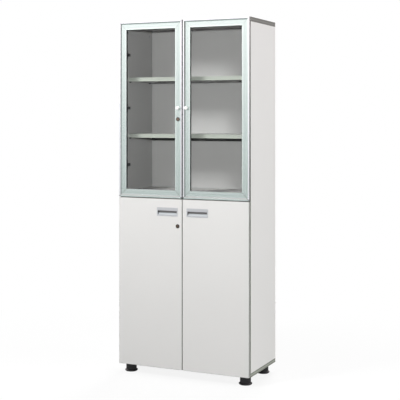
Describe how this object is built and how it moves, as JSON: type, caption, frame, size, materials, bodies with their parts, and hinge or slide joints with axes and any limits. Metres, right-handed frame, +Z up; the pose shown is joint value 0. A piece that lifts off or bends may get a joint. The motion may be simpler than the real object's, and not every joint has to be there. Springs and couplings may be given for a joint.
{
  "type": "laboratory display cabinet",
  "caption": "Tall free-standing laboratory cabinet with glazed aluminium-framed doors above, board doors with recessed pulls below, shelves, locks and levelling feet.",
  "frame": {"origin": "on the floor, under the middle of the bounding box", "axes": "+X to the right seen from the front, +Y to the back, +Z up; the doors face -Y"},
  "size_m": [0.8, 0.412, 1.995],
  "materials": {
    "white_board": "satin melamine-faced board",
    "grey_trim": "satin grooved edge trim",
    "shelf_pin_steel": "nickel-plated",
    "hinge_steel": "nickel-plated, satin",
    "foot_black": "moulded, satin",
    "frame_aluminium": "satin anodised",
    "pane_glass": "clear float glass",
    "gasket_rubber": "matt",
    "knob_white": "gloss",
    "door_edging": "satin edge band",
    "pull_silver": "satin painted silver",
    "lock_chrome": "polished"
  },
  "bodies": {
    "cabinet": {"left_side_board": "white_board", "right_side_board": "white_board", "top_board": "white_board", "bottom_board": "white_board", "middle_board": "white_board", "middle_rail": "white_board", "back_board": "white_board", "edge_trim": "grey_trim", "upper_shelf_high": "white_board", "upper_shelf_low": "white_board", "lower_shelf": "white_board", "shelf_pins": "shelf_pin_steel", "cam_fasteners": "hinge_steel", "hinge_plates": "hinge_steel", "hinge_arms": "hinge_steel", "foot_sockets": "foot_black"},
    "front_left_foot": {"front_left_foot": "foot_black"},
    "front_right_foot": {"front_right_foot": "foot_black"},
    "rear_left_foot": {"rear_left_foot": "foot_black"},
    "rear_right_foot": {"rear_right_foot": "foot_black"},
    "left_upper_links": {"left_upper_hinge_links": "hinge_steel"},
    "left_lower_links": {"left_lower_hinge_links": "hinge_steel"},
    "left_upper_door": {"left_frame_hinge_stile": "frame_aluminium", "left_frame_meeting_stile": "frame_aluminium", "left_frame_top_rail": "frame_aluminium", "left_frame_bottom_rail": "frame_aluminium", "left_frame_corner_keys": "hinge_steel", "left_glass": "pane_glass", "left_gasket": "gasket_rubber", "left_knob": "knob_white", "left_upper_hinge_cups": "hinge_steel", "upper_lock_housing": "lock_chrome"},
    "left_lower_door": {"left_lower_door": "white_board", "left_lower_door_edging": "door_edging", "left_pull": "pull_silver", "left_lower_hinge_cups": "hinge_steel", "lower_lock_housing": "lock_chrome"},
    "right_upper_links": {"right_upper_hinge_links": "hinge_steel"},
    "right_lower_links": {"right_lower_hinge_links": "hinge_steel"},
    "right_upper_door": {"right_frame_hinge_stile": "frame_aluminium", "right_frame_meeting_stile": "frame_aluminium", "right_frame_top_rail": "frame_aluminium", "right_frame_bottom_rail": "frame_aluminium", "right_frame_corner_keys": "hinge_steel", "right_glass": "pane_glass", "right_gasket": "gasket_rubber", "right_knob": "knob_white", "right_upper_hinge_cups": "hinge_steel", "upper_bolt_case": "hinge_steel"},
    "right_lower_door": {"right_lower_door": "white_board", "right_lower_door_edging": "door_edging", "right_pull": "pull_silver", "right_lower_hinge_cups": "hinge_steel", "lower_bolt_case": "hinge_steel"},
    "upper_lock_barrel": {"upper_lock_plug": "lock_chrome", "upper_lock_cam": "lock_chrome"},
    "lower_lock_barrel": {"lower_lock_plug": "lock_chrome", "lower_lock_cam": "lock_chrome"},
    "upper_bolt": {"upper_bolt_bar": "hinge_steel"},
    "lower_bolt": {"lower_bolt_bar": "hinge_steel"}
  },
  "joints": [
    {"name": "left_upper_link_swing", "type": "hinge", "parent": "cabinet", "child": "left_upper_links", "pos_m": [-0.37, -0.174, 1.5], "axis": [0, 0, 1], "range_deg": [0, 31]},
    {"name": "left_upper_door_open", "type": "hinge", "parent": "left_upper_links", "child": "left_upper_door", "pos_m": [-0.391, -0.181, 1.5], "axis": [0, 0, -1], "range_deg": [0, 136]},
    {"name": "left_lower_link_swing", "type": "hinge", "parent": "cabinet", "child": "left_lower_links", "pos_m": [-0.37, -0.174, 0.52], "axis": [0, 0, 1], "range_deg": [0, 31]},
    {"name": "left_lower_door_open", "type": "hinge", "parent": "left_lower_links", "child": "left_lower_door", "pos_m": [-0.391, -0.181, 0.52], "axis": [0, 0, -1], "range_deg": [0, 136]},
    {"name": "right_upper_link_swing", "type": "hinge", "parent": "cabinet", "child": "right_upper_links", "pos_m": [0.37, -0.174, 1.5], "axis": [0, 0, -1], "range_deg": [0, 31]},
    {"name": "right_upper_door_open", "type": "hinge", "parent": "right_upper_links", "child": "right_upper_door", "pos_m": [0.391, -0.181, 1.5], "axis": [0, 0, 1], "range_deg": [0, 136]},
    {"name": "right_lower_link_swing", "type": "hinge", "parent": "cabinet", "child": "right_lower_links", "pos_m": [0.37, -0.174, 0.52], "axis": [0, 0, -1], "range_deg": [0, 31]},
    {"name": "right_lower_door_open", "type": "hinge", "parent": "right_lower_links", "child": "right_lower_door", "pos_m": [0.391, -0.181, 0.52], "axis": [0, 0, 1], "range_deg": [0, 136]},
    {"name": "front_left_foot_height", "type": "slide", "parent": "cabinet", "child": "front_left_foot", "axis": [0, 0, -1], "range_m": [0, 0.012]},
    {"name": "front_right_foot_height", "type": "slide", "parent": "cabinet", "child": "front_right_foot", "axis": [0, 0, -1], "range_m": [0, 0.012]},
    {"name": "rear_left_foot_height", "type": "slide", "parent": "cabinet", "child": "rear_left_foot", "axis": [0, 0, -1], "range_m": [0, 0.012]},
    {"name": "rear_right_foot_height", "type": "slide", "parent": "cabinet", "child": "rear_right_foot", "axis": [0, 0, -1], "range_m": [0, 0.012]},
    {"name": "upper_lock_turn", "type": "hinge", "parent": "left_upper_door", "child": "upper_lock_barrel", "pos_m": [-0.028, -0.194, 1.441], "axis": [0, -1, 0], "range_deg": [0, 90]},
    {"name": "upper_bolt_slide", "type": "slide", "parent": "right_upper_door", "child": "upper_bolt", "axis": [0, 0, 1], "range_m": [0, 0.012]},
    {"name": "lower_lock_turn", "type": "hinge", "parent": "left_lower_door", "child": "lower_lock_barrel", "pos_m": [-0.028, -0.194, 0.847], "axis": [0, -1, 0], "range_deg": [0, 90]},
    {"name": "lower_bolt_slide", "type": "slide", "parent": "right_lower_door", "child": "lower_bolt", "axis": [0, 0, -1], "range_m": [0, 0.012]}
  ],
  "couplings": [
    {"joint": "left_upper_link_swing", "follows": "left_upper_door_open", "ratio": 0.22794},
    {"joint": "left_lower_link_swing", "follows": "left_lower_door_open", "ratio": 0.22794},
    {"joint": "right_upper_link_swing", "follows": "right_upper_door_open", "ratio": 0.22794},
    {"joint": "right_lower_link_swing", "follows": "right_lower_door_open", "ratio": 0.22794}
  ]
}
